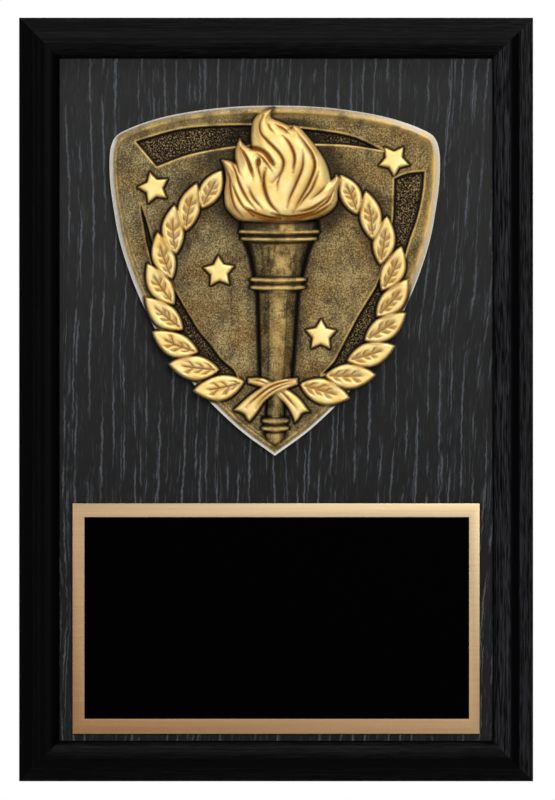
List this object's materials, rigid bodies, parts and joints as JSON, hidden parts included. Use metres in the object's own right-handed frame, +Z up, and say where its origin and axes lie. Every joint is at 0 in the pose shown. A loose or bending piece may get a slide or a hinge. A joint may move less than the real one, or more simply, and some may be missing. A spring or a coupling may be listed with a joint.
{
  "type": "presentation plaque",
  "caption": "Upright wall award plaque: black framed wood panel, cast bronze-and-gold shield with torch and laurel wreath, and a blank black engraving plate with a gold border.",
  "frame": {"origin": "middle of the flat back, in the plane of the wall", "axes": "+Z up along the plaque's height, +Y out of the back towards the wall, -Y out of the decorated face, +X to the right as the face is looked at"},
  "size_m": [0.1524, 0.0194, 0.2264],
  "materials": {
    "black_ash_veneer": "black stained open-grain veneer, satin, with blue-grey grain streaks",
    "black_frame_lacquer": "black satin lacquer on moulded wood",
    "brushed_brass": "fine brushed gold border round a flush black lacquered field",
    "bronzed_resin": "cast resin in antique bronze with gold painted flame, wreath, ribbon and stars"
  },
  "bodies": {
    "root": {"panel": "black_ash_veneer", "rail_top": "black_frame_lacquer", "rail_left": "black_frame_lacquer", "rail_bottom": "black_frame_lacquer", "rail_right": "black_frame_lacquer", "engraving_plate": "brushed_brass", "shield_casting": "bronzed_resin"}
  },
  "joints": []
}
